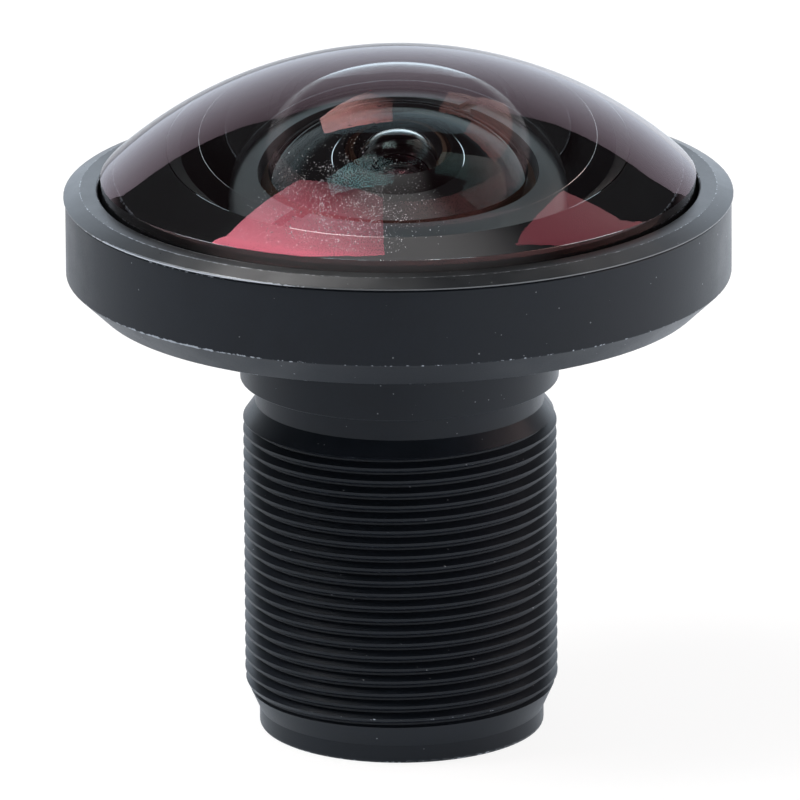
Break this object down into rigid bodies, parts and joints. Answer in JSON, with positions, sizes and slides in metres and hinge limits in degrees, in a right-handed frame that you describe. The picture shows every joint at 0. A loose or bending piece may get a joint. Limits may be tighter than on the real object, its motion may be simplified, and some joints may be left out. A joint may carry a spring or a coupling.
{
  "type": "fisheye lens",
  "caption": "Fisheye lens with a large domed front glass in a wide mushroom head, a slim neck and a fine-threaded mounting barrel.",
  "frame": {"origin": "centre of the rear end face, which the lens stands on", "axes": "+Z along the optical axis, out through the domed front glass"},
  "size_m": [0.0256, 0.0256, 0.0264],
  "materials": {
    "barrel_anodised": "black anodised over a fine blasted surface, satin",
    "bezel_anodised": "black anodised, turned, satin with worn edges",
    "ring_anodised": "black anodised, matt",
    "spacer_black": "dull black anodised",
    "stop_black": "dull black painted thin sheet",
    "washer_film": "black plastic film",
    "seal_rubber": "smooth black rubber",
    "dome_glass": "polished optical glass, anti-reflection coated",
    "second_glass": "polished optical glass, anti-reflection coated",
    "inner_glass": "polished optical glass, anti-reflection coated",
    "filter_glass": "polished flat glass with an infrared blocking coating"
  },
  "bodies": {
    "lens_barrel": {"barrel": "barrel_anodised", "dome_lens": "dome_glass", "dome_seal": "seal_rubber", "second_lens_ring": "ring_anodised", "second_lens": "second_glass", "third_lens_ring": "ring_anodised", "third_lens": "inner_glass", "front_spacer": "spacer_black", "fourth_lens": "inner_glass", "middle_spacer": "spacer_black", "aperture_stop": "stop_black", "stop_spacer": "spacer_black", "fifth_lens": "inner_glass", "sixth_lens": "inner_glass", "rear_spacer": "spacer_black", "seventh_lens": "inner_glass", "focus_shim": "stop_black", "infrared_filter": "filter_glass"},
    "bezel_washer": {"bezel_washer": "washer_film"},
    "front_bezel": {"front_bezel": "bezel_anodised"},
    "filter_washer": {"filter_washer": "washer_film"},
    "rear_ring": {"rear_ring": "ring_anodised"}
  },
  "joints": [
    {"name": "front_bezel_advance", "type": "slide", "parent": "lens_barrel", "child": "bezel_washer", "axis": [0, 0, 1], "range_m": [0, 0.000875]},
    {"name": "front_bezel_turn", "type": "hinge", "parent": "bezel_washer", "child": "front_bezel", "pos_m": [0, 0, 0.021], "axis": [0, 0, 1], "range_deg": [0, 900]},
    {"name": "rear_ring_advance", "type": "slide", "parent": "lens_barrel", "child": "filter_washer", "axis": [0, 0, -1], "range_m": [0, 0.0007]},
    {"name": "rear_ring_turn", "type": "hinge", "parent": "filter_washer", "child": "rear_ring", "pos_m": [0, 0, 0.0015], "axis": [0, 0, -1], "range_deg": [0, 720]}
  ],
  "couplings": [
    {"joint": "front_bezel_turn", "follows": "front_bezel_advance", "rad_per_m": 17952},
    {"joint": "rear_ring_turn", "follows": "rear_ring_advance", "rad_per_m": 17952}
  ]
}
